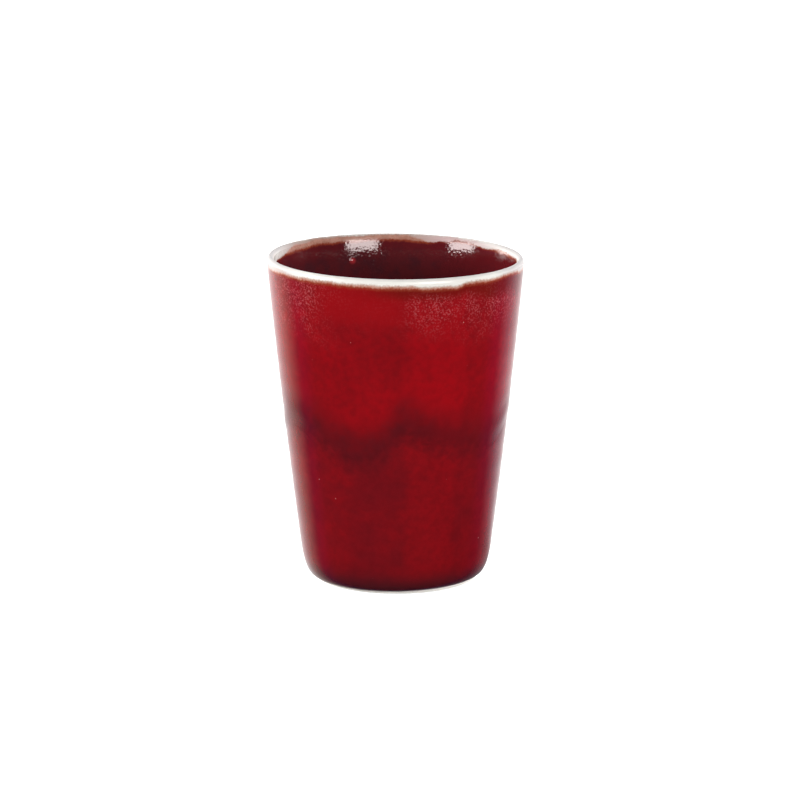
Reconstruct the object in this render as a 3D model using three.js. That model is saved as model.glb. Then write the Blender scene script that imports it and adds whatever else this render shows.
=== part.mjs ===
// A ceramic tumbler: a thrown clay body with a turned foot, and the four coats of glaze fired onto it.
// Millimetres, +Z up. The origin is on the table under the middle of the foot, and -Y is the front.
import * as THREE from "three";

// Finished vessel, measured over the glaze
const height = 100; // table to lip
const rimDiameter = 79; // across the lip, before its edge is rounded over
const heelDiameter = 56.5; // across the heel, before its edge is rounded under
const wallSwell = 0.4; // how far the wall bows out from a straight cone
const lipRound = 2.6; // depth of the lip's rounding outside
const lipEase = 6.5; // depth in which the lip eases into the wall inside
const heelRun = 3; // rounding of the heel, in from the wall
const heelRise = 10; // rounding of the heel, up from the foot line

// Clay body
const lipWall = 1.9; // clay thickness at the lip
const heelWall = 3.4; // clay thickness beside the inside floor
const floorThickness = 4; // clay between the inside floor and the hollow of the foot
const cornerRun = 10; // rounding of the inside corner, in from the wall
const cornerRise = 13; // rounding of the inside corner, up from the floor
const footHeight = 1.2; // table to the clay's heel
const footWidth = 4; // width of the ring that the tumbler stands on
const footBevel = 0.3; // broken edges of that ring
const recessDepth = 1.6; // hollow inside the foot ring

// Glaze coats
const outerCoat = 0.3; // each of the two dips outside
const lipCoat = 0.3; // where the glaze breaks pale over the lip
const innerCoat = 0.4; // liner
const edgeCoat = 0.12; // what a dip thins to at its edge in the lap
const bond = 0.1; // hairline between fused coats, so that each is a solid of its own

// Lap outside, where the upper dip runs down over the lower one with a wavy edge
const lapHeight = 51; // middle of the lap
const lapWidth = 9; // height that both dips cover
const lapStep = 3; // height in which the upper dip climbs onto the lower one, and each thins to its edge
const lapWaves = [
  { count: 5, depth: 3.3, lowestAt: -22 },
  { count: 3, depth: 1.4, lowestAt: -3 },
  { count: 9, depth: 0.8, lowestAt: -15 },
]; // waves round the lap: how many, how deep, and the bearing of a low point in degrees from the front

// Fineness of the curved surfaces
const facets = 60; // round the axis
const cornerSteps = 6; // round the heel, and round the inside corner
const wallSteps = 5; // up a stretch of wall
const lipSteps = 5; // over each half of the lip

// Heights and radii that follow from the sizes
const clayTop = height - lipCoat - bond;
const clayRim = rimDiameter / 2 - outerCoat - bond;
const clayHeel = heelDiameter / 2 - outerCoat - bond;
const floorTop = recessDepth + floorThickness;
const floorEdge = THREE.MathUtils.mapLinear(floorTop, footHeight, clayTop, clayHeel, clayRim) - heelWall;
const overLap = bond + outerCoat + bond; // clay to the underside of the upper dip, within the lap

const point = (radius, z) => new THREE.Vector2(radius, z);

// One face of the wall from bottom to top: a rounded corner, a bowed wall and half of the lip.
// Each curve runs smoothly into the next, and the wall's height grows evenly along its curve
function wallFace(corner, run, rise, rim, lipDepth) {
  const wallFrom = corner.y + rise;
  const wallTo = rim.y - lipDepth;
  const middle = (wallFrom + wallTo) / 2;
  const straight = THREE.MathUtils.mapLinear(middle, corner.y, rim.y, corner.x, rim.x);
  const belly = point(straight + 2 * wallSwell, middle);
  const start = point(corner.x - run, corner.y);
  const low = corner.clone().lerp(belly, rise / (middle - corner.y));
  const high = rim.clone().lerp(belly, lipDepth / (rim.y - middle));
  const crest = point(clayRim - lipWall / 2, rim.y);
  return {
    wallFrom,
    wallTo,
    corner: new THREE.QuadraticBezierCurve(start, corner, low),
    wall: new THREE.QuadraticBezierCurve(low, belly, high),
    lip: new THREE.QuadraticBezierCurve(high, rim, crest),
  };
}

const outerRim = point(clayRim, clayTop);
const innerRim = point(clayRim - lipWall, clayTop);
const outer = wallFace(point(clayHeel, footHeight), heelRun, heelRise, outerRim, lipRound);
const inner = wallFace(point(floorEdge, floorTop), cornerRun, cornerRise, innerRim, lipEase);

// A point of a face lifted square off the clay, outwards, or into the hollow where the lift is negative
function lifted(curve, share, lift) {
  const tangent = curve.getTangent(share);
  return curve.getPoint(share).add(point(tangent.y, -tangent.x).multiplyScalar(lift));
}

// Evenly spaced points of a whole curve, from its lower end to its upper one
function along(curve, steps, lift) {
  return Array.from({ length: steps + 1 }, (_, i) => lifted(curve, i / steps, lift));
}

// A point of a face's wall, by its height on the clay
function onWall(face, z, lift) {
  return lifted(face.wall, THREE.MathUtils.inverseLerp(face.wallFrom, face.wallTo, z), lift);
}

// Evenly spaced points of a face's wall between two heights
function wallBetween(face, from, to, lift) {
  return Array.from({ length: wallSteps + 1 }, (_, i) =>
    onWall(face, THREE.MathUtils.lerp(from, to, i / wallSteps), lift),
  );
}

// A solid turned about Z from an outline in radius and height
function turned(outline) {
  return new THREE.LatheGeometry(outline, facets).rotateX(Math.PI / 2);
}

// The same for an outline that changes with the bearing, which is 0 at the front and grows towards +X
function turnedWavy(outlineAt) {
  const geometry = new THREE.LatheGeometry(outlineAt(0), facets);
  const position = geometry.getAttribute("position");
  const rows = outlineAt(0).length;
  const lastColumn = position.count / rows - 1;
  for (let column = 0; column <= lastColumn; column++) {
    const bearing = (column / lastColumn) * 2 * Math.PI;
    outlineAt(bearing).forEach(({ x, y }, row) => {
      position.setXYZ(column * rows + row, x * Math.sin(bearing), y, x * Math.cos(bearing));
    });
  }
  return geometry.rotateX(Math.PI / 2);
}

// The closed outline of a coat: up or over its glazed side, and back along the clay
function coatOutline(glazedSide, claySide) {
  return [...glazedSide, ...claySide.toReversed(), glazedSide[0]];
}

// Middle of the lap at a bearing
function lapAt(bearing) {
  const dips = lapWaves.map(
    ({ count, depth, lowestAt }) => depth * Math.cos(count * (bearing - THREE.MathUtils.degToRad(lowestAt))),
  );
  return lapHeight - dips.reduce((sum, dip) => sum + dip, 0);
}

// Clay: the foot ring and its hollow, then up the outside, over the lip and down the inside to the floor
function clayBody() {
  const footOutside = clayHeel - heelRun - bond;
  const footInside = footOutside - footWidth;
  const faceOf = (face) => [
    ...along(face.corner, cornerSteps, 0),
    ...along(face.wall, wallSteps, 0).slice(1),
    ...along(face.lip, lipSteps, 0).slice(1),
  ];
  return turned([
    point(0, recessDepth),
    point(footInside, recessDepth),
    point(footInside, footBevel),
    point(footInside + footBevel, 0),
    point(footOutside - footBevel, 0),
    point(footOutside, footBevel),
    point(footOutside, footHeight),
    ...faceOf(outer),
    ...faceOf(inner).toReversed().slice(1),
    point(0, floorTop),
  ]);
}

// Lower dip: from the foot line round the heel and up to the top of the lap
function lowerGlaze() {
  const side = (top, lift, edgeLift) => [
    ...along(outer.corner, cornerSteps, lift),
    ...wallBetween(outer, outer.wallFrom, top - lapStep, lift).slice(1),
    onWall(outer, top, edgeLift),
  ];
  return turnedWavy((bearing) => {
    const top = lapAt(bearing) + lapWidth / 2;
    return coatOutline(side(top, bond + outerCoat, bond + edgeCoat), side(top, bond, bond));
  });
}

// Upper dip: from its edge on the lower dip, down onto the clay above the lap and up to the lip
function upperGlaze() {
  const side = (bottom, thickness, edgeThickness) => {
    const top = bottom + lapWidth + bond;
    return [
      onWall(outer, bottom, overLap + edgeThickness),
      onWall(outer, bottom + lapStep, overLap + thickness),
      onWall(outer, top, overLap + thickness),
      ...wallBetween(outer, top + lapStep, outer.wallTo - bond, bond + thickness),
    ];
  };
  return turnedWavy((bearing) => {
    const bottom = lapAt(bearing) - lapWidth / 2;
    return coatOutline(side(bottom, outerCoat, edgeCoat), side(bottom, 0, 0));
  });
}

// Lip band: over the rounded lip, from the upper dip outside to the liner inside
function lipGlaze() {
  const side = (lift) => [
    ...along(outer.lip, lipSteps, lift),
    ...along(inner.lip, lipSteps, -lift).toReversed().slice(1),
  ];
  return turned(coatOutline(side(bond + lipCoat), side(bond)));
}

// Liner: the inside floor, corner and wall
function innerGlaze() {
  const side = (lift) => [
    point(0, floorTop + lift),
    ...along(inner.corner, cornerSteps, -lift),
    ...wallBetween(inner, inner.wallFrom, inner.wallTo - bond, -lift).slice(1),
  ];
  return turned([...side(bond), ...side(bond + innerCoat).toReversed()]);
}

const bareClay = new THREE.MeshStandardMaterial({ color: 0xe6dfd0, roughness: 0.85, metalness: 0 });
const redGlaze = new THREE.MeshStandardMaterial({ color: 0x7a0f16, roughness: 0.12, metalness: 0 });
const brightGlaze = new THREE.MeshStandardMaterial({ color: 0x8c0d14, roughness: 0.12, metalness: 0 });
const paleGlaze = new THREE.MeshStandardMaterial({ color: 0xeeece2, roughness: 0.15, metalness: 0 });
const darkGlaze = new THREE.MeshStandardMaterial({ color: 0x4a161b, roughness: 0.12, metalness: 0 });

const tumbler = new THREE.Group();

function add(name, geometry, material) {
  const piece = new THREE.Mesh(geometry, material);
  piece.name = name;
  tumbler.add(piece);
}

add("clay_body", clayBody(), bareClay);
add("lower_glaze", lowerGlaze(), redGlaze);
add("upper_glaze", upperGlaze(), brightGlaze);
add("lip_glaze", lipGlaze(), paleGlaze);
add("inner_glaze", innerGlaze(), darkGlaze);

export default tumbler;
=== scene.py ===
import math

import bmesh
import bpy
import numpy as np
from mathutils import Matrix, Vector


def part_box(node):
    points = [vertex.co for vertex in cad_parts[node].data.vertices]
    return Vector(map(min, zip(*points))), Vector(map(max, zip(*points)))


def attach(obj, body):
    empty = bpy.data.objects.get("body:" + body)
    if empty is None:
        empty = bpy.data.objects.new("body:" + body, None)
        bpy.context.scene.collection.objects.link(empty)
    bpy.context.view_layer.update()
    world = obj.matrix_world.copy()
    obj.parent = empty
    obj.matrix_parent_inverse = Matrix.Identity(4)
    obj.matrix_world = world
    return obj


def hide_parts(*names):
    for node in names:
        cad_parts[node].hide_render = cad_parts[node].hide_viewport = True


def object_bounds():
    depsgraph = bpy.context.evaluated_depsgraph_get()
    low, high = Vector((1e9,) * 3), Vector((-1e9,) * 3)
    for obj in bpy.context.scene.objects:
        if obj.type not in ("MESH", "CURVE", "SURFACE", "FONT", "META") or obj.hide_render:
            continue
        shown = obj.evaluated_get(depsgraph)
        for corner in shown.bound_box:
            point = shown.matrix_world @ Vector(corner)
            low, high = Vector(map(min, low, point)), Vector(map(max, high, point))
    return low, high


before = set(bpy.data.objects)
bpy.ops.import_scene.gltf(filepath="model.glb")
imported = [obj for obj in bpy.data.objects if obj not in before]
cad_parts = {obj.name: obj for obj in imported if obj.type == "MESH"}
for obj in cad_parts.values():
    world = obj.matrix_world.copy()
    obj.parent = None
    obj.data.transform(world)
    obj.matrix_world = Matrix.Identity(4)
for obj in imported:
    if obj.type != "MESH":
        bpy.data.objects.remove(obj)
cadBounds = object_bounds()
print("frame loaded:", ", ".join(sorted(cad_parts)))

mm = 0.001
scene = bpy.context.scene
scene.view_settings.view_transform = "Standard"


def linear(hexColour):
    # sRGB hex to the linear RGBA that sockets take
    srgb = np.array([int(hexColour[i:i + 2], 16) for i in (1, 3, 5)]) / 255
    rgb = np.where(srgb <= 0.04045, srgb / 12.92, ((srgb + 0.055) / 1.055) ** 2.4)
    return (*rgb.tolist(), 1.0)


def addNode(tree, kind, settings, inputs):
    # one node: settings are its own properties, inputs are sockets to link or values to set
    node = tree.nodes.new("ShaderNode" + kind)
    for key, value in settings.items():
        setattr(node, key, value)
    for key, value in inputs.items():
        if isinstance(value, bpy.types.NodeSocket):
            tree.links.new(value, node.inputs[key])
        else:
            node.inputs[key].default_value = value
    return node


def share(tree, value, start, stop, top=1.0, bottom=0.0):
    # smooth step of a value, from bottom at start to top at stop. Spans in this file hold start and stop
    # and, where they aren't 1 and 0, top and bottom
    step = addNode(tree, "MapRange", {"interpolation_type": "SMOOTHSTEP"}, {
        "Value": value,
        "From Min": start,
        "From Max": stop,
        "To Min": bottom,
        "To Max": top,
    })
    return step.outputs[0]


def product(tree, first, second):
    return addNode(tree, "Math", {"operation": "MULTIPLY"}, {0: first, 1: second}).outputs[0]


def reached(tree, value, where, reach):
    # a value moved by reach, as far as where is 1
    return addNode(tree, "Math", {"operation": "MULTIPLY_ADD"}, {0: where, 1: reach, 2: value}).outputs[0]


def swayed(tree, value, fields, reaches):
    # a value pushed up and down by the named noises, by up to half of each one's reach
    for name, reach in reaches.items():
        push = addNode(tree, "Math", {"operation": "SUBTRACT"}, {0: fields[name], 1: 0.5}).outputs[0]
        value = reached(tree, value, push, reach)
    return value


def towards(tree, space, bearing):
    # cosine of the angle round the axis from a bearing, which is 0 at the front and grows to the right
    flat = addNode(tree, "VectorMath", {"operation": "MULTIPLY"}, {0: space, 1: (1, 1, 0)})
    around = addNode(tree, "VectorMath", {"operation": "NORMALIZE"}, {0: flat.outputs["Vector"]})
    turn = math.radians(bearing)
    return addNode(tree, "VectorMath", {"operation": "DOT_PRODUCT"}, {
        0: around.outputs["Vector"],
        1: (math.sin(turn), -math.cos(turn), 0),
    }).outputs["Value"]


mixFactor, mixFrom, mixTo, mixed = 0, 6, 7, 2  # sockets of a Mix node that mixes colours


def layered(tree, ground, layers):
    # colours laid over a ground in turn, each with the share of what is below that it covers
    colour = ground
    for cover, over in layers:
        mix = addNode(tree, "Mix", {"data_type": "RGBA"}, {mixFactor: cover, mixFrom: colour, mixTo: over})
        colour = mix.outputs[mixed]
    return colour


# camera, fitted to the outline of the tumbler in the photograph
photoView = {
    "lens": 175.5,
    "sensor": 36,
    "clip": (0.05, 50),  # metres
    "distance": 1200,  # mm from the middle of the tumbler
    "elevation": 12.977,  # degrees above the horizon
    "pitch": 12.75,  # degrees that the lens looks down
    "aside": 1.4,  # mm to the right of the axis
}


def makeCamera(view):
    data = bpy.data.cameras.new("photoCamera")
    data.lens = view["lens"]
    data.sensor_width = view["sensor"]
    data.clip_start, data.clip_end = view["clip"]
    camera = bpy.data.objects.new("photoCamera", data)
    middle = (cadBounds[0].z + cadBounds[1].z) / 2
    rise = math.radians(view["elevation"])
    camera.location = (
        view["aside"] * mm,
        -view["distance"] * mm * math.cos(rise),
        middle + view["distance"] * mm * math.sin(rise),
    )
    camera.rotation_euler = (math.radians(90 - view["pitch"]), 0, 0)
    scene.collection.objects.link(camera)
    scene.camera = camera


makeCamera(photoView)
print("camera placed")

# studio: a pale floor, a painted shadow on it at the right that only the glaze mirrors, a surround that is
# white behind the tumbler and dark in front of it, two low softboxes, a strip at the left, and fills from
# the sides and the back that the glaze doesn't mirror.
# Its lengths are in metres
floorLook = {"size": 6.0, "colour": "#e0e0dd", "cameraGlow": 0.95}
# a dark sheet on the floor that only the glaze's reflections see: a painted shadow
paintedShadowLook = {
    "size": 0.4,
    "height": 0.0002,
    "dark": 0.65,
    "nearSpan": (0.15, 0.03),  # from the axis
    "bearing": 82,  # degrees
    "bearingSpan": (0.55, 0.95),  # cosine of the angle from that bearing
}
surround = {
    "front": "#262428",
    "side": "#462c58",
    "behindLeft": "#c6bbb2",
    "behindRight": "#baaebf",
    "behind": "#ffffff",
    "sideSpan": (0.0, 0.3),  # cosine of the angle from the middle of the backdrop
    "behindSidesSpan": (0.3, 0.7),  # the same
    "behindSpan": (0.56, 0.98),  # the same
    "leftToRightSpan": (-0.2, 0.2),  # x of the direction
    "strength": 1.2,
    "turn": 3.5,  # degrees, the middle of the white backdrop is this far to the left
}
# turn is in degrees from the camera's side, positive to the right, and rise is above the rim
lamps = {
    "rightSoftbox": {"turn": 33, "rise": 15.5, "size": (0.5, 0.29), "radiance": 11.5, "mirrored": True},
    "leftSoftbox": {"turn": -70, "rise": 15.5, "size": (0.44, 0.29), "radiance": 13, "mirrored": True},
    "leftStrip": {"turn": -128, "rise": 5, "size": (0.3, 0.08), "radiance": 6.5, "mirrored": True},
    "rightFill": {"turn": 122, "rise": 11, "size": (0.5, 0.5), "radiance": 9, "mirrored": False},
    "leftFill": {"turn": -122, "rise": 11, "size": (0.5, 0.5), "radiance": 10.3, "mirrored": False},
    "backFill": {"turn": 180, "rise": 35, "size": (0.6, 0.4), "radiance": 2, "mirrored": False},
}
lampDistance = 0.9
# a narrow lamp straight above, which shines into the tumbler and misses its lip
insideLamp = {"height": 1.0, "cone": 3.8, "soft": 0.5, "radius": 0.003, "power": 45}


def makeSheet(name, size, height):
    # a square of the stage, with an empty material tree
    half = size / 2
    corners = [(-half, -half, height), (half, -half, height), (half, half, height), (-half, half, height)]
    mesh = bpy.data.meshes.new(name)
    mesh.from_pydata(corners, [], [(0, 1, 2, 3)])
    sheet = bpy.data.objects.new(name, mesh)
    scene.collection.objects.link(sheet)
    material = bpy.data.materials.new(name)
    material.use_nodes = True
    material.node_tree.nodes.clear()
    mesh.materials.append(material)
    return sheet, material.node_tree


def makeFloor(look):
    # to the camera the floor glows up to white and keeps the shadow
    floor, tree = makeSheet("paleFloor", look["size"], 0)
    light = addNode(tree, "LightPath", {}, {})
    paper = addNode(tree, "BsdfDiffuse", {}, {"Color": linear(look["colour"])})
    glow = product(tree, light.outputs["Is Camera Ray"], look["cameraGlow"])
    lit = addNode(tree, "Emission", {}, {"Strength": glow})
    both = addNode(tree, "AddShader", {}, {0: paper.outputs[0], 1: lit.outputs[0]})
    addNode(tree, "OutputMaterial", {}, {"Surface": both.outputs[0]})
    floor.visible_glossy = False


def makePaintedShadow(look):
    # a painted shadow on the floor at the right, which only the glaze mirrors: a dark sheet that fades with
    # distance and stands in for the shadow that the tumbler throws there
    shade, tree = makeSheet("paintedFloorShadow", look["size"], look["height"])
    space = addNode(tree, "TexCoord", {}, {}).outputs["Object"]
    away = addNode(tree, "VectorMath", {"operation": "LENGTH"}, {0: space}).outputs["Value"]
    near = share(tree, away, *look["nearSpan"], look["dark"])
    aside = share(tree, towards(tree, space, look["bearing"]), *look["bearingSpan"])
    dark = product(tree, aside, near)
    clear = addNode(tree, "BsdfTransparent", {}, {})
    black = addNode(tree, "BsdfDiffuse", {}, {"Color": (0, 0, 0, 1)})
    dimmed = addNode(tree, "MixShader", {}, {0: dark, 1: clear.outputs[0], 2: black.outputs[0]})
    addNode(tree, "OutputMaterial", {}, {"Surface": dimmed.outputs[0]})
    shade.visible_camera = False
    shade.visible_diffuse = False
    shade.visible_shadow = False


def makeSurround(look):
    # white to the camera; to everything else it brightens with the direction towards the back
    world = bpy.data.worlds.new("studio")
    scene.world = world
    world.use_nodes = True
    tree = world.node_tree
    tree.nodes.clear()
    turn = math.radians(look["turn"])
    direction = addNode(tree, "TexCoord", {}, {}).outputs["Generated"]
    across = addNode(tree, "SeparateXYZ", {}, {0: direction}).outputs["X"]
    backwards = addNode(tree, "VectorMath", {"operation": "DOT_PRODUCT"}, {
        0: direction,
        1: (-math.sin(turn), math.cos(turn), 0),
    }).outputs["Value"]
    sides = layered(tree, linear(look["behindLeft"]), [
        (share(tree, across, *look["leftToRightSpan"]), linear(look["behindRight"])),
    ])
    colour = layered(tree, linear(look["front"]), [
        (share(tree, backwards, *look["sideSpan"]), linear(look["side"])),
        (share(tree, backwards, *look["behindSidesSpan"]), sides),
        (share(tree, backwards, *look["behindSpan"]), linear(look["behind"])),
    ])
    room = addNode(tree, "Background", {}, {"Color": colour, "Strength": look["strength"]})
    white = addNode(tree, "Background", {}, {"Color": (1, 1, 1, 1), "Strength": 1.0})
    light = addNode(tree, "LightPath", {}, {})
    seen = addNode(tree, "MixShader", {}, {
        0: light.outputs["Is Camera Ray"],
        1: room.outputs[0],
        2: white.outputs[0],
    })
    addNode(tree, "OutputWorld", {}, {"Surface": seen.outputs[0]})


def makeLamp(name, lamp):
    # a flat lamp facing the rim, whose power is its radiance times pi times its area
    data = bpy.data.lights.new(name, "AREA")
    data.shape = "RECTANGLE"
    data.size, data.size_y = lamp["size"]
    data.energy = lamp["radiance"] * math.pi * data.size * data.size_y
    box = bpy.data.objects.new(name, data)
    turn, rise = math.radians(lamp["turn"]), math.radians(lamp["rise"])
    away = np.array([math.sin(turn) * math.cos(rise), -math.cos(turn) * math.cos(rise), math.sin(rise)])
    box.location = away * lampDistance + np.array([0, 0, cadBounds[1].z])
    box.rotation_euler = (math.pi / 2 - rise, 0, turn)
    box.visible_camera = False
    box.visible_glossy = lamp["mirrored"]
    scene.collection.objects.link(box)


def makeInsideLamp(lamp):
    # a spot that points straight down
    data = bpy.data.lights.new("insideLamp", "SPOT")
    data.energy = lamp["power"]
    data.spot_size = math.radians(lamp["cone"])
    data.spot_blend = lamp["soft"]
    data.shadow_soft_size = lamp["radius"]
    spot = bpy.data.objects.new("insideLamp", data)
    spot.location = (0, 0, cadBounds[1].z + lamp["height"])
    spot.visible_camera = False
    spot.visible_glossy = False
    scene.collection.objects.link(spot)


makeFloor(floorLook)
makePaintedShadow(paintedShadowLook)
makeSurround(surround)
for name, lamp in lamps.items():
    makeLamp(name, lamp)
makeInsideLamp(insideLamp)
print("floor, surround and", len(lamps) + 1, "lamps made")

# the fired tumbler, in millimetres over its glaze
vessel = {
    "height": cadBounds[1].z / mm,
    "rimRadius": 39.5,  # of the lip's corner, before it is rounded over
    "lipThickness": 2.7,
    "lipRound": 3.0,  # depth of the lip's rounding outside
    "lipEase": 6.9,  # depth in which the lip eases into the wall inside
    "heelRadius": 28.25,  # of the heel's corner, before it is rounded under
    "footLine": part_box("lower_glaze")[0].z / mm,  # where the glaze stops above the table
    "heelRun": 3.0,
    "heelRise": 10.0,
    "swell": 0.4,  # the wall bows out from a straight cone
    "floorTop": 6.1,
    "floorRadius": 24.5,  # of the inside corner, before it is rounded
    "cornerRun": 10.0,
    "cornerRise": 13.0,
}

# the wavy lap of the two dips outside: height of its middle, its width, and its waves round the axis
lap = {
    "height": 51.0,
    "width": 9.0,
    "waves": [(5, 3.3, -22), (3, 1.4, -3), (9, 0.8, -15)],  # count, depth, bearing of a low point
    "proud": 0.14,  # how far the doubled glaze stands out
}

# what the hand leaves: a rim that isn't quite level or round, a slight lean, and faint throwing rings
hand = {
    "rimTilt": 0.37,  # higher on the left
    "rimPower": 2,  # of the height, by which that tilt grows up the wall
    "heelTilt": 0.3,  # of the glaze line at the foot, higher on the right
    "heelPower": 6,  # of the depth below the rim, by which that tilt fades up the wall
    "heelTurn": 25,  # degrees that its high point is turned towards the front
    "lean": 0.25,  # of the foot to the right
    "oval": 0.1,
    "ovalTurn": 0.7,  # radians, the bearing at which it is widest
    "threeSidedTurn": 1.0,  # radians, of a swell with three sides and half that depth
    "ringPitch": 7.0,
    "ringDepth": 0.03,
}

# one bead of glaze that set on the wall inside: bearing in degrees, depth below the lip, and size
bead = {"bearing": 202, "depth": 7.9, "radius": 1.5, "proud": 0.3}

# bearings are 0 at the front and grow to the right. Their columns, and the rows of the inner wall, crowd
# together towards the bead
columns = 288
columnCrowding = 0.55
rowCrowding = 1.6
# rows of each stretch of the skin, and of the lower dip's tongue under the lap
rowCounts = {
    "heel": 28,
    "lowerWall": 44,
    "upperWall": 72,
    "lipOutside": 18,
    "lipInside": 26,
    "innerWall": 72,
    "innerCorner": 24,
    "floor": 14,
    "tongue": 10,
}
beadTurn = math.radians(bead["bearing"])
evenly = np.linspace(0, 2 * math.pi, columns, endpoint=False)
bearings = evenly - columnCrowding * np.sin(evenly - beadTurn)


def bend(start, corner, end, steps, crowding=1.0):
    # quadratic curve: leaves start towards corner and reaches end coming from corner, with its rows crowded
    # together at the start where crowding is over 1
    t = np.linspace(0, 1, steps + 1)[:, None] ** crowding
    points = (1 - t) ** 2 * np.array(start) + 2 * t * (1 - t) * np.array(corner) + t ** 2 * np.array(end)
    return np.repeat(points[:, None, :], columns, axis=1)


def lapMiddle(bearing):
    # mean height less a cosine for each wave
    height = lap["height"]
    for count, depth, lowest in lap["waves"]:
        height = height - depth * np.cos(count * (bearing - math.radians(lowest)))
    return height


def onLine(low, high, z):
    # radius of the straight line through two corners, at height z
    return np.interp(z, [low[1], high[1]], [low[0], high[0]])


def bowedWall(low, high, rise, ease):
    # control points of a bowed wall: where it leaves the lower corner, its belly, and where the lip begins
    start, stop = low[1] + rise, high[1] - ease
    middle = (start + stop) / 2
    belly = np.array([onLine(low, high, middle) + 2 * vessel["swell"], middle])
    leave = np.array(low) + (belly - low) * rise / (middle - low[1])
    reach = np.array(high) + (belly - high) * ease / (high[1] - middle)
    return leave, belly, reach


def wallAt(leave, belly, reach, z):
    # radius of the bowed wall at heights z, which run evenly along its curve
    t = (z - leave[1]) / (reach[1] - leave[1])
    return (1 - t) ** 2 * leave[0] + 2 * t * (1 - t) * belly[0] + t ** 2 * reach[0]


heel = (vessel["heelRadius"], vessel["footLine"])
rim = (vessel["rimRadius"], vessel["height"])
innerRim = (vessel["rimRadius"] - vessel["lipThickness"], vessel["height"])
innerFloor = (vessel["floorRadius"], vessel["floorTop"])
crest = ((rim[0] + innerRim[0]) / 2, vessel["height"])
outerWall = bowedWall(heel, rim, vessel["heelRise"], vessel["lipRound"])
innerWall = bowedWall(innerFloor, innerRim, vessel["cornerRise"], vessel["lipEase"])
lapEdge = lapMiddle(bearings) - lap["width"] / 2


def wallStretch(bottom, top, steps):
    # even heights from bottom to top in every column, on the bowed outer wall
    z = bottom + (top - bottom) * np.linspace(0, 1, steps + 1)[:, None]
    return np.stack([wallAt(*outerWall, z), z], axis=-1)


# the whole glazed skin: stretches of (radius, height) from the foot line over the lip to the inside floor
footStart = (heel[0] - vessel["heelRun"], heel[1])
floorStart = (innerFloor[0] - vessel["cornerRun"], innerFloor[1])
floorMiddle = (floorStart[0] / 2, floorStart[1])
floorEnd = (0, floorStart[1])
ones = np.ones(columns)
stretches = {
    "heel": bend(footStart, heel, outerWall[0], rowCounts["heel"]),
    "lowerWall": wallStretch(outerWall[0][1] * ones, lapEdge, rowCounts["lowerWall"]),
    "upperWall": wallStretch(lapEdge, outerWall[2][1] * ones, rowCounts["upperWall"]),
    "lipOutside": bend(outerWall[2], rim, crest, rowCounts["lipOutside"]),
    "lipInside": bend(crest, innerRim, innerWall[2], rowCounts["lipInside"]),
    "innerWall": bend(innerWall[2], innerWall[1], innerWall[0], rowCounts["innerWall"], rowCrowding),
    "innerCorner": bend(innerWall[0], innerFloor, floorStart, rowCounts["innerCorner"]),
    "floor": bend(floorStart, floorMiddle, floorEnd, rowCounts["floor"]),
}
rowOf, skin = {}, []
for name, points in stretches.items():
    rowOf[name] = sum(len(part) for part in skin)
    skin.append(points[:-1])
skin = np.concatenate(skin + [stretches["floor"][-1:]])
print("skin sampled:", skin.shape[0], "rows of", columns)


def handMade(points, lift):
    # position from radius and height: radius swells by two cosines round the axis and a spiral sine up it,
    # the foot leans aside, and the rim and the glaze line at the foot tilt by a sine of the bearing, which
    # fades across the floor to nothing on the axis
    radius, z = points[..., 0] + lift, points[..., 1]
    up = np.clip(z / vessel["height"], 0, 1)
    twoSided = hand["oval"] * np.cos(2 * (bearings - hand["ovalTurn"]))
    threeSided = hand["oval"] / 2 * np.cos(3 * bearings + hand["threeSidedTurn"])
    spiral = np.sin(2 * math.pi * z / hand["ringPitch"] - bearings)
    rings = hand["ringDepth"] * spiral * np.sin(math.pi * up)
    radius = radius * (1 + ((twoSided + threeSided) * up + rings) / vessel["rimRadius"])
    x = radius * np.sin(bearings) + hand["lean"] * (1 - up)
    y = -radius * np.cos(bearings)
    low = np.clip(z / vessel["footLine"], 0, 1) * (1 - up) ** hand["heelPower"]
    heelTilt = hand["heelTilt"] * np.sin(bearings + math.radians(hand["heelTurn"])) * low
    rimTilt = hand["rimTilt"] * np.sin(bearings) * up ** hand["rimPower"]
    z = z + (heelTilt - rimTilt) * np.clip(radius / footStart[0], 0, 1)
    return np.stack([x, y, z], axis=-1) * mm


def lapLift(z):
    # rounded ridge of the doubled glaze: a squared sine that is zero at both edges of the lap
    across = np.clip((z - lapEdge) / lap["width"], 0, 1)
    return lap["proud"] * np.sin(math.pi * across) ** 2


beadHeight = vessel["height"] - bead["depth"]
beadRadius = wallAt(*innerWall, beadHeight)
beadSpot = np.array([beadRadius * math.sin(beadTurn), -beadRadius * math.cos(beadTurn), beadHeight]) * mm


def beadRise(grid):
    # smooth step of nearness to the middle of the bead
    near = np.clip(1 - np.linalg.norm(grid - beadSpot, axis=-1) / (bead["radius"] * mm), 0, 1)
    return bead["proud"] * near ** 2 * (3 - 2 * near)


outsideRows = np.arange(len(skin)) < rowOf["lipOutside"]
lift = np.where(outsideRows[:, None], lapLift(skin[..., 1]), 0)
beadLift = beadRise(handMade(skin, lift))
surface = handMade(skin, lift - beadLift)


def outwards(grid):
    # unit normal: change along the columns crossed with change along the rows, and straight up at a pole
    alongColumns = np.roll(grid, -1, axis=1) - np.roll(grid, 1, axis=1)
    alongRows = np.gradient(grid, axis=0)
    normal = np.cross(alongColumns, alongRows)
    size = np.linalg.norm(normal, axis=-1, keepdims=True)
    smallest = 1e-12
    return np.where(size > smallest, normal / np.maximum(size, smallest), np.array([0, 0, 1.0]))


normals = outwards(surface)

# distances that the finishes follow, in millimetres
alongSkin = np.cumsum(np.linalg.norm(np.diff(skin, axis=0, prepend=skin[:1]), axis=-1), axis=0)
lipDrop = alongSkin[rowOf["lipInside"]] - alongSkin  # below the crest: positive outside, negative inside
lapOffset = skin[..., 1] - lapMiddle(bearings)  # above the middle of the lap

shellFinish = {
    "merge": 1e-7,  # metres, points this near become one, which closes the poles
    "sharp": 50,  # degrees, an edge over this angle isn't smoothed
}


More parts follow.
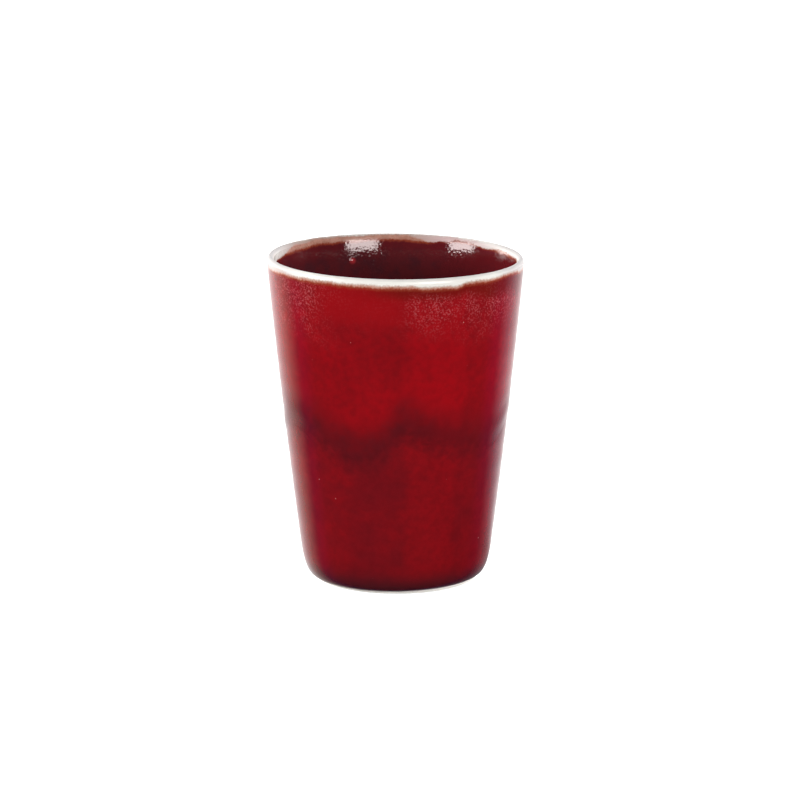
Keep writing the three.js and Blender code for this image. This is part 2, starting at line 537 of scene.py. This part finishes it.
def makeShell(name, face, back, marks):
    # closed shell: rows of the glazed side, then rows of the side against the clay in reverse, joined round
    ring = np.concatenate([face, back[::-1]])
    index = np.arange(ring.shape[0] * columns).reshape(-1, columns)
    right = np.roll(index, -1, axis=1)
    quads = np.stack([index, right, np.roll(right, -1, axis=0), np.roll(index, -1, axis=0)], axis=-1)
    mesh = bpy.data.meshes.new(name)
    mesh.from_pydata(ring.reshape(-1, 3), [], quads.reshape(-1, 4))
    for mark, values in marks.items():
        layer = mesh.attributes.new(mark, "FLOAT", "POINT")
        layer.data.foreach_set("value", np.concatenate([values, values[::-1]]).astype(np.float32).ravel())
    form = bmesh.new()
    form.from_mesh(mesh)
    bmesh.ops.remove_doubles(form, verts=form.verts, dist=shellFinish["merge"])
    form.to_mesh(mesh)
    form.free()
    mesh.polygons.foreach_set("use_smooth", np.ones(len(mesh.polygons), bool))
    mesh.set_sharp_from_angle(angle=math.radians(shellFinish["sharp"]))
    piece = bpy.data.objects.new(name, mesh)
    scene.collection.objects.link(piece)
    return piece


def makeCoat(name, first, last, thickness):
    # a coat over the rows of the skin from first to last, thicker at the bead
    rows = slice(first, last + 1)
    face = surface[rows]
    back = face - normals[rows] * (thickness + beadLift[rows])[..., None] * mm
    return makeShell(name, face, back, {"lipDrop": lipDrop[rows], "lapOffset": lapOffset[rows]})


# thicknesses of the glaze, in millimetres
coats = {
    "outer": 0.3,
    "lip": 0.3,
    "inner": 0.4,
    "lapEdge": 0.08,  # of the upper dip at the edges of the lap
    "lapClimb": 2.0,  # height above the lap in which the upper dip comes to its full thickness
    "lapUnder": 0.1,  # depth of the lower dip below the wall, in the lap
    "gap": 0.1,  # between clay and glaze
}


def makeUpperGlaze():
    # thin over the lap, where the lower dip lies under it, and full above
    first, last = rowOf["upperWall"], rowOf["lipOutside"]
    rows = slice(first, last + 1)
    above = np.clip((skin[rows, :, 1] - lapEdge - lap["width"]) / coats["lapClimb"], 0, 1)
    inLap = lift[rows] + coats["lapEdge"]
    return makeCoat("upperGlaze", first, last, inLap + (coats["outer"] - inLap) * above)


def makeLowerGlaze():
    # the lower dip, with a tongue that runs on under the upper one to the top of the lap
    rows = slice(0, rowOf["upperWall"] + 1)
    tongue = wallStretch(lapEdge, lapEdge + lap["width"], rowCounts["tongue"])[1:]
    under = handMade(tongue, -coats["lapUnder"])
    face = np.concatenate([surface[rows], under])
    back = face - np.concatenate([normals[rows], outwards(under)]) * coats["outer"] * mm
    marks = {
        "lipDrop": np.concatenate([lipDrop[rows], np.full(tongue.shape[:2], lipDrop[0].max())]),
        "lapOffset": np.concatenate([lapOffset[rows], tongue[..., 1] - lapMiddle(bearings)]),
    }
    return makeShell("lowerGlaze", face, back, marks)


upperGlaze = makeUpperGlaze()
lowerGlaze = makeLowerGlaze()
lipGlaze = makeCoat("lipGlaze", rowOf["lipOutside"], rowOf["innerWall"], coats["lip"])
innerGlaze = makeCoat("innerGlaze", rowOf["innerWall"], len(skin) - 1, coats["inner"])
print("four coats of glaze made")

# the bare clay that shows under the foot, and the wall of it inside the glaze
foot = {
    "inset": 0.1,  # behind the edge of the glaze
    "width": 4.0,
    "bevel": 0.35,
    "hollow": 1.6,  # depth of the hollow inside the ring
    "hollowRound": 0.6,
    "ringPitch": 1.5,  # turning marks in the hollow
    "ringDepth": 0.05,
    "ringFade": 4.0,  # distance from the axis at which they are full
    "hollowRows": 60,
    "roundRows": 6,
    "bevelRows": 5,
}


def makeClay():
    # underside from the axis out to the foot ring, with marks that are a sine of the radius, then the skin
    # less the glaze, by every second row as glaze hides it, closed back to the axis
    depth = np.where(outsideRows, coats["outer"], coats["inner"])[:, None] + beadLift + coats["gap"]
    upper = surface - normals * depth[..., None] * mm
    outside = footStart[0] - foot["inset"]
    inside = outside - foot["width"]
    bevel, hollow, turned = foot["bevel"], foot["hollow"], foot["hollowRound"]
    roundRows, bevelRows = foot["roundRows"], foot["bevelRows"]
    radii = np.linspace(0, inside - turned, foot["hollowRows"])
    marks = foot["ringDepth"] * np.sin(2 * math.pi * radii / foot["ringPitch"])
    marks = marks * np.clip(radii / foot["ringFade"], 0, 1)
    ring = np.concatenate([
        np.stack([radii, hollow + marks], axis=-1),
        bend((inside - turned, hollow), (inside, hollow), (inside, hollow - turned), roundRows)[1:, 0],
        bend((inside, bevel), (inside, 0), (inside + bevel, 0), bevelRows)[:, 0],
        bend((outside - bevel, 0), (outside, 0), (outside, bevel), bevelRows)[:, 0],
        [(outside, footStart[1] + coats["gap"])],
    ])
    under = handMade(np.repeat(ring[:, None, :], columns, axis=1), 0)
    return makeShell("clayBody", under, upper[::-2], {})


clayBody = makeClay()
print("clay body made")

# copper red glaze, dipped twice and fired over pale stoneware: it runs off the lip and breaks white, tan
# and brown there, is flecked pink where it thins below, crimson on the wall and maroon in the lap, and
# darker towards the bottom of the heel
redGlaze = {
    "upperBright": "#9f0a14",
    "upperDeep": "#840b13",
    "upperClear": "#960b12",
    "lowerBright": "#8a0e16",
    "lowerDeep": "#710f17",
    "lapMaroon": "#4e1219",
    "heelDark": "#47161d",
    "fleck": "#b65a5e",
    "mottle": "#4e0a10",
    "brown": "#6a130c",
    "rust": "#8f3d2a",
    "tan": "#c99482",
    "tanDeep": "#a3705c",
    "blush": "#c1a699",
    "blushPale": "#dabdbb",
    "white": "#f0eee7",
    # grey to which the white and some of the blush turn at both ends of the lip: painted shade
    "shadedEndGrey": "#ccc8c5",
    "liner": "#571d22",
    "linerDeep": "#4b1e24",
    # lighter liner: near the lip, and towards the right as painted light
    "linerBright": "#68161c",
    "bead": "#b8343a",
    "pinhole": "#c88680",
    "flash": "#fff2f0",  # tint of what the glaze mirrors
    "runBearing": 20,  # degrees, where the glaze ran brighter down the wall
    "runSpan": (0.945, 1.0),  # cosine of the angle from that bearing
    "tanBearing": 205,  # degrees, the middle of the stretch of lip that is tan inside
    "lapRise": 2.5,  # mm, how much higher the dark lap lies at the front
    "lipRun": 0.8,  # mm, how much lower the lip's bands reach where the glaze ran
    "blushShadedEnds": 0.6,  # share of the blush that turns to the painted-shade grey at the ends of the lip
    "pinholeSpacing": 5.5,  # mm
    "pinholeRadius": 0.15,
    "pinholeEdge": (1.4, 0.6),  # times that radius, where a pinhole starts and where it is full
    "pinholeSpan": (0.38, 0.4),  # random value of a cell, which has a pinhole if it is past this
    "peelDepth": 0.006,
    "pitDepth": 0.048,
    "ior": 1.58,
    "gloss": 0.07,  # roughness of the wall
    "lipGloss": 0.32,  # roughness of the white on the lip
    "sheenLeft": 4.0,  # mm, how much sooner the sheen ends at the left
    "beadSheen": 0.2,
    "beadSheenFull": 0.7,  # share of the bead's radius within which that is full
}

# noises of the glaze: size in millimetres, octaves and their strength
noises = {
    "cloud": (15.0, 2, 0.5),  # broad changes of the red
    "blotch": (4.5, 3, 0.5),
    "mottle": (2.2, 6, 0.62),
    "fleck": (0.6, 2, 0.6),
    "wobble": (6.0, 3, 0.5),  # waver of the edges of bands
    "fuzz": (0.7, 2, 0.5),  # raggedness of the same edges
    "peel": (2.4, 2, 0.5),  # orange peel of the fired surface
    "pit": (0.8, 1, 0.5),  # pitted skin of the liner under the lip
}


def glazeFields(tree, look):
    # noises over the object's own space, directions and distances in it, and the distances kept on the mesh
    space = addNode(tree, "TexCoord", {}, {}).outputs["Object"]
    fields = {
        "space": space,
        "run": share(tree, towards(tree, space, look["runBearing"]), *look["runSpan"]),
        "towardsTan": towards(tree, space, look["tanBearing"]),
    }
    for name, (size, octaves, strength) in noises.items():
        fields[name] = addNode(tree, "TexNoise", {}, {
            "Vector": space,
            "Scale": 1 / (size * mm),
            "Detail": octaves,
            "Roughness": strength,
        }).outputs["Fac"]
    for name in ("lipDrop", "lapOffset"):
        fields[name] = addNode(tree, "Attribute", {"attribute_name": name}, {}).outputs["Fac"]
    apart = addNode(tree, "SeparateXYZ", {}, {0: space})
    fields["x"], fields["z"] = apart.outputs["X"], apart.outputs["Z"]
    fields["beadAway"] = addNode(tree, "VectorMath", {"operation": "DISTANCE"}, {
        0: space,
        1: beadSpot.tolist(),
    }).outputs["Value"]
    return fields


def sideways(tree, x, middle):
    # distance to either side of a plane, which stands some millimetres to the right of the axis
    offset = addNode(tree, "Math", {"operation": "SUBTRACT"}, {0: x, 1: middle * mm}).outputs[0]
    return addNode(tree, "Math", {"operation": "ABSOLUTE"}, {0: offset}).outputs[0]


# spans of the glaze on the wall, across the tumbler where no other measure is named
wallSpans = {
    "lapRise": (9 * mm, 1 * mm),  # to either side of its middle
    "lapPatches": (0.35, 0.6, 1.0, 0.75),  # noise
    "lapLeft": (18 * mm, 4 * mm, 1.0, 0.7),
    "lap": (10.5, 0.5, 0.8),  # mm from its middle
    "dips": (-2.5, 2.5),  # mm above the middle of the lap
    "run": (-0.6, 1.2),  # share of the run
    "mottle": (0.3, 0.72, 0.32),  # noise
    "heel": (9.0 * mm, 1.2 * mm),  # above the table
    "fleckSide": (4 * mm, 20 * mm, 1.0, 0.25),  # to either side of its middle
    "fleckDrop": (24, 2),  # mm below the crest
    "fleckPatches": (0.35, 0.62, 1.0, 0.3),  # noise
    "darkFlecks": (0.47, 0.35, 0.6),  # noise
    "pinkFlecks": (0.49, 0.64, 0.8, 0.06),  # noise
    "clearSide": (17 * mm, 9 * mm, 0.7),  # to either side of its middle
    "clearDrop": (18, 10),  # mm below the crest
}

# the same on the lip, where what is below the crest is negative inside
lipSpans = {
    "run": (0.6, 1.0),  # share of the run
    "ends": (29 * mm, 39 * mm),  # to either side of their middle
    "pale": (0.86, 0.7),  # cosine of the angle from tanBearing
    "paleDepth": (25 * mm, -30 * mm, 1.6, 0.9),  # across, with the depth in mm for its shares
    "linerBlotch": (0.4, 0.65),  # noise
    "linerLitRight": (4 * mm, 26 * mm, 0.6),
    "linerTop": (-9.0, -3.0, 0.6),  # mm below the crest
    "tanMottle": (0.4, 0.65, 0.6),  # noise
    "tanFuzz": (0.5, 0.68, 0.5),  # noise
    "within": (1.0, -0.6),  # mm below the crest
    # the ends, and their crest, where the white and blush are greyed as painted shade
    "shadedEnds": (27 * mm, 36 * mm),  # to either side of the axis
    "shadedEndCrest": (-1.6, -0.4),  # mm below the crest
    "blushRight": (2 * mm, 16 * mm),
    "blushFarRight": (22 * mm, 30 * mm, 0.7),
    "brownRight": (-14 * mm, 4 * mm, 0.85, 0.1),
    "brown": (8.0, 3.8),  # mm below the crest
    "liner": (-0.6, -2.4),  # mm below the crest
    "sheenLeft": (-18 * mm, -37 * mm),
    "sheen": (-5.8, -6.8, 0.05, 0.5),  # mm below the crest
    "pits": (1.0, -1.5),  # mm below the crest
    "satin": (3.0, 1.0),  # mm from the crest, to either side
}

# x of the middles that spans to either side are measured from, in millimetres
middles = {"lapRise": 2.5, "flecks": -7, "clear": -10, "lipEnds": -1.5}

# bands of the lip, from the wall to the crest: their spans outside and inside, in mm below the crest
lipBands = {
    "rust": ((4.1, 2.9), (-3.1, -2.2)),
    "tan": ((3.25, 2.5), (-2.4, -1.6)),
    "blush": ((2.85, 2.1), (-0.9, -0.3)),
    "white": ((2.5, 1.75), (-0.9, 0.0)),
}

# stretches of the lip on which bands lie higher outside and deeper inside, or the other way if negative.
# Each has the x that it is measured from to either side, or None for x itself, where the shift starts and
# where it is full, and how far it goes, in millimetres
lipShifts = {
    "outside": [(None, -26, -36, 0.15), (None, 28, 34, 0.5), (0, 35, 38.5, -0.9)],
    "brownOutside": [(None, 20, 32, -2.5)],
    "whiteOutside": [(None, -29, -37, 0.6)],
    "inside": [(None, -12, -30, 0.8), (-1.5, 29, 39, 0.3), (22, 7, 2, -0.8), (8.5, 6, 1, 0.6)],
    # the first stretch of blushInside, 13.5 mm right of the axis, takes the pale blush deeper inside: a
    # painted reflection of a lamp in the lip's inner curve
    "blushInside": [(13.5, 11, 1, 0.75), (26, 7, 2, 0.7)],
    "whiteInside": [(None, 29, 37, 1.6), (None, -35, -37, 3.5)],
}

# how far noises push things to and fro, in millimetres, or as a share for the runs
sways = {
    "lap": {"wobble": 6.0, "mottle": 9.0},
    "upperRun": {"cloud": 2.0},
    "lowerRun": {"blotch": 2.0},
    "flecks": {"cloud": -22},
    "lip": {"wobble": 1.0, "cloud": 1.4, "fuzz": 0.9},
    "sheen": {"pit": 9.0},
}


def shifted(tree, drop, x, shifts):
    # a drop below the crest, moved on stretches of the lip
    for middle, start, full, reach in shifts:
        away = x if middle is None else sideways(tree, x, middle)
        drop = reached(tree, drop, share(tree, away, start * mm, full * mm), reach)
    return drop


def fleckZone(tree, fields):
    # where the upper dip thins below the lip and is flecked, least a little left of the front
    aside = share(tree, sideways(tree, fields["x"], middles["flecks"]), *wallSpans["fleckSide"])
    drop = swayed(tree, fields["lipDrop"], fields, sways["flecks"])
    zone = product(tree, share(tree, drop, *wallSpans["fleckDrop"]), aside)
    return product(tree, zone, share(tree, fields["blotch"], *wallSpans["fleckPatches"]))


def pinholeCover(tree, look, space):
    # small dots, one in each of the chosen cells of a cell pattern
    cell = addNode(tree, "TexVoronoi", {}, {"Vector": space, "Scale": 1 / (look["pinholeSpacing"] * mm)})
    radius = look["pinholeRadius"] / look["pinholeSpacing"]
    start, full = look["pinholeEdge"]
    chosen = addNode(tree, "SeparateColor", {}, {0: cell.outputs["Color"]}).outputs[0]
    dots = share(tree, cell.outputs["Distance"], radius * start, radius * full)
    return product(tree, dots, share(tree, chosen, *look["pinholeSpan"]))


def wallColour(tree, look, tone, fields):
    # the two dips, the dark lap between them, which lies higher at the front and is paler at the right, the
    # dark heel, pink and dark flecks below the lip, a clear stretch among them, and a few pinholes
    x, fleck, spans = fields["x"], fields["fleck"], wallSpans
    lapRise = share(tree, sideways(tree, x, middles["lapRise"]), *spans["lapRise"])
    lapAway = reached(tree, fields["lapOffset"], lapRise, -look["lapRise"])
    lapAway = swayed(tree, lapAway, fields, sways["lap"])
    lapNear = addNode(tree, "Math", {"operation": "ABSOLUTE"}, {0: lapAway}).outputs[0]
    lapPatches = share(tree, fields["blotch"], *spans["lapPatches"])
    lapPatches = product(tree, lapPatches, share(tree, x, *spans["lapLeft"]))
    upperRun = swayed(tree, fields["run"], fields, sways["upperRun"])
    lowerRun = swayed(tree, upperRun, fields, sways["lowerRun"])
    upper = layered(tree, tone["upperDeep"], [(share(tree, upperRun, *spans["run"]), tone["upperBright"])])
    lower = layered(tree, tone["lowerDeep"], [(share(tree, lowerRun, *spans["run"]), tone["lowerBright"])])
    flecked = fleckZone(tree, fields)
    clearSide = share(tree, sideways(tree, x, middles["clear"]), *spans["clearSide"])
    clear = product(tree, clearSide, share(tree, fields["lipDrop"], *spans["clearDrop"]))
    return layered(tree, lower, [
        (share(tree, lapAway, *spans["dips"]), upper),
        (product(tree, share(tree, lapNear, *spans["lap"]), lapPatches), tone["lapMaroon"]),
        (share(tree, fields["mottle"], *spans["mottle"]), tone["mottle"]),
        (share(tree, fields["z"], *spans["heel"]), tone["heelDark"]),
        (product(tree, flecked, share(tree, fleck, *spans["darkFlecks"])), tone["mottle"]),
        (product(tree, flecked, share(tree, fleck, *spans["pinkFlecks"])), tone["fleck"]),
        (clear, tone["upperClear"]),
        (pinholeCover(tree, look, fields["space"]), tone["pinhole"]),
    ])


def lipColour(tree, look, tone, fields, wall):
    # from the wall over the lip to the liner: brown, rust, tan, blush, white, and the same way back down
    # inside, where the blush has run off one stretch of the lip and bares the tan; outside the white
    # reaches lowest on the run, and inside deepest at both ends, most at the left. At both ends the white
    # on the crest and outside, and some of the blush, are greyed: painted shade
    x, plainDrop, spans = fields["x"], fields["lipDrop"], lipSpans
    drop = swayed(tree, plainDrop, fields, sways["lip"])
    outside = reached(tree, drop, share(tree, fields["run"], *spans["run"]), -look["lipRun"])
    outside = shifted(tree, outside, x, lipShifts["outside"])
    brownOutside = shifted(tree, outside, x, lipShifts["brownOutside"])
    whiteOutside = shifted(tree, outside, x, lipShifts["whiteOutside"])
    inside = shifted(tree, drop, x, lipShifts["inside"])
    pale = share(tree, fields["towardsTan"], *spans["pale"])
    blushInside = reached(tree, inside, pale, share(tree, x, *spans["paleDepth"]))
    # around 13.5 mm right of the axis the blush reaches deeper inside: a painted reflection
    blushInside = shifted(tree, blushInside, x, lipShifts["blushInside"])
    whiteInside = shifted(tree, drop, x, lipShifts["whiteInside"])
    liner = layered(tree, tone["liner"], [
        (share(tree, fields["blotch"], *spans["linerBlotch"]), tone["linerDeep"]),
        # lighter towards the right: painted light where the left softbox falls on the wall inside
        (share(tree, x, *spans["linerLitRight"]), tone["linerBright"]),
        (share(tree, plainDrop, *spans["linerTop"]), tone["linerBright"]),
    ])
    tan = layered(tree, tone["tan"], [
        (share(tree, fields["mottle"], *spans["tanMottle"]), tone["tanDeep"]),
        (share(tree, fields["fuzz"], *spans["tanFuzz"]), tone["tanDeep"]),
    ])
    within = share(tree, plainDrop, *spans["within"])
    ends = share(tree, sideways(tree, x, middles["lipEnds"]), *spans["ends"])
    shadedEnds = share(tree, sideways(tree, x, 0), *spans["shadedEnds"])
    # at both ends part of the blush turns grey: painted shade
    blush = layered(tree, tone["blush"], [
        (product(tree, shadedEnds, look["blushShadedEnds"]), tone["shadedEndGrey"]),
        (product(tree, within, share(tree, x, *spans["blushRight"])), tone["blushPale"]),
        (product(tree, within, share(tree, x, *spans["blushFarRight"])), tone["white"]),
        (product(tree, within, ends), tone["white"]),
    ])
    # at both ends the white on the crest and outside turns grey: painted shade
    thin = product(tree, shadedEnds, share(tree, plainDrop, *spans["shadedEndCrest"]))
    white = layered(tree, tone["white"], [(thin, tone["shadedEndGrey"])])
    brown = product(tree, share(tree, brownOutside, *spans["brown"]), share(tree, x, *spans["brownRight"]))
    layers = [
        (brown, tone["brown"]),
        (share(tree, inside, *spans["liner"]), liner),
    ]
    bands = [
        ("rust", tone["rust"], outside, inside),
        ("tan", tan, outside, inside),
        ("blush", blush, outside, blushInside),
        ("white", white, whiteOutside, whiteInside),
    ]
    for band, colour, outer, inner in bands:
        outerSpan, innerSpan = lipBands[band]
        cover = product(tree, share(tree, outer, *outerSpan), share(tree, inner, *innerSpan))
        layers.append((cover, colour))
    layers.append((share(tree, fields["beadAway"], bead["radius"] * mm, 0), tone["bead"]))
    return layered(tree, wall, layers)


def glazeRelief(tree, look, fields):
    # bump: rounded orange peel all over, and a pitted skin inside under the lip
    peel = addNode(tree, "Bump", {}, {"Distance": look["peelDepth"] * mm, "Height": fields["peel"]})
    pits = addNode(tree, "Bump", {}, {
        "Distance": look["pitDepth"] * mm,
        "Height": product(tree, fields["pit"], share(tree, fields["lipDrop"], *lipSpans["pits"])),
        "Normal": peel.outputs[0],
    })
    return pits.outputs[0]


def glazeRoughness(tree, look, fields):
    # satin where it is white on the lip, and glassy everywhere else
    lipNear = addNode(tree, "Math", {"operation": "ABSOLUTE"}, {0: fields["lipDrop"]}).outputs[0]
    return share(tree, lipNear, *lipSpans["satin"], look["lipGloss"], look["gloss"])


def glazeSheen(tree, look, fields):
    # strength of the mirror: full outside and under the lip, with a ragged end down the dry liner, which
    # comes sooner at the left, and stronger again on the bead
    ragged = swayed(tree, fields["lipDrop"], fields, sways["sheen"])
    ragged = reached(tree, ragged, share(tree, fields["x"], *lipSpans["sheenLeft"]), -look["sheenLeft"])
    underLip = share(tree, ragged, *lipSpans["sheen"])
    edge = bead["radius"] * mm
    onBead = share(tree, fields["beadAway"], edge, edge * look["beadSheenFull"], look["beadSheen"])
    return addNode(tree, "Math", {"operation": "MAXIMUM"}, {0: underLip, 1: onBead}).outputs[0]


def makeGlaze(name):
    # one recipe for every coat, so that colours run on across the edges of coats; glassy to the eye
    material = bpy.data.materials.new(name)
    material.use_nodes = True
    tree = material.node_tree
    tree.nodes.clear()
    fields = glazeFields(tree, redGlaze)
    tone = {key: linear(value) for key, value in redGlaze.items() if isinstance(value, str)}
    wall = wallColour(tree, redGlaze, tone, fields)
    shader = addNode(tree, "BsdfPrincipled", {}, {
        "Base Color": lipColour(tree, redGlaze, tone, fields, wall),
        "Normal": glazeRelief(tree, redGlaze, fields),
        "Roughness": glazeRoughness(tree, redGlaze, fields),
        "Specular IOR Level": glazeSheen(tree, redGlaze, fields),
        "Specular Tint": linear(redGlaze["flash"]),
        "IOR": redGlaze["ior"],
    })
    addNode(tree, "OutputMaterial", {}, {"Surface": shader.outputs[0]})
    return material


# bare fired stoneware: dry and matt, cream with fine darker grog
stoneware = {
    "cream": "#fbf8f2",
    "grog": "#d6cab6",
    "grogSize": 0.7,  # mm
    "grogOctaves": 2,
    "grogSpan": (0.6, 0.75, 0.7),  # noise
    "grogDepth": 0.02,
    "roughness": 0.8,
}


def makeStoneware(look):
    material = bpy.data.materials.new("bare stoneware, turned and sponged")
    material.use_nodes = True
    tree = material.node_tree
    tree.nodes.clear()
    space = addNode(tree, "TexCoord", {}, {}).outputs["Object"]
    grog = addNode(tree, "TexNoise", {}, {
        "Vector": space,
        "Scale": 1 / (look["grogSize"] * mm),
        "Detail": look["grogOctaves"],
    }).outputs["Fac"]
    grains = share(tree, grog, *look["grogSpan"])
    relief = addNode(tree, "Bump", {}, {"Distance": look["grogDepth"] * mm, "Height": grog})
    shader = addNode(tree, "BsdfPrincipled", {}, {
        "Base Color": layered(tree, linear(look["cream"]), [(grains, linear(look["grog"]))]),
        "Normal": relief.outputs[0],
        "Roughness": look["roughness"],
    })
    addNode(tree, "OutputMaterial", {}, {"Surface": shader.outputs[0]})
    return material


dressed = [
    (clayBody, "clay_body", "clay", makeStoneware(stoneware)),
    (lowerGlaze, "lower_glaze", "lower_red_glaze", makeGlaze("copper red glaze, lower dip")),
    (upperGlaze, "upper_glaze", "upper_red_glaze", makeGlaze("copper red glaze, upper dip")),
    (lipGlaze, "lip_glaze", "pale_lip_glaze", makeGlaze("copper red glaze broken white over the lip")),
    (innerGlaze, "inner_glaze", "liner_glaze", makeGlaze("copper red glaze, poured liner")),
]
for piece, node, slot, material in dressed:
    piece.data.materials.append(material)
    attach(piece, "root")
    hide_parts(node)
print("pieces dressed")
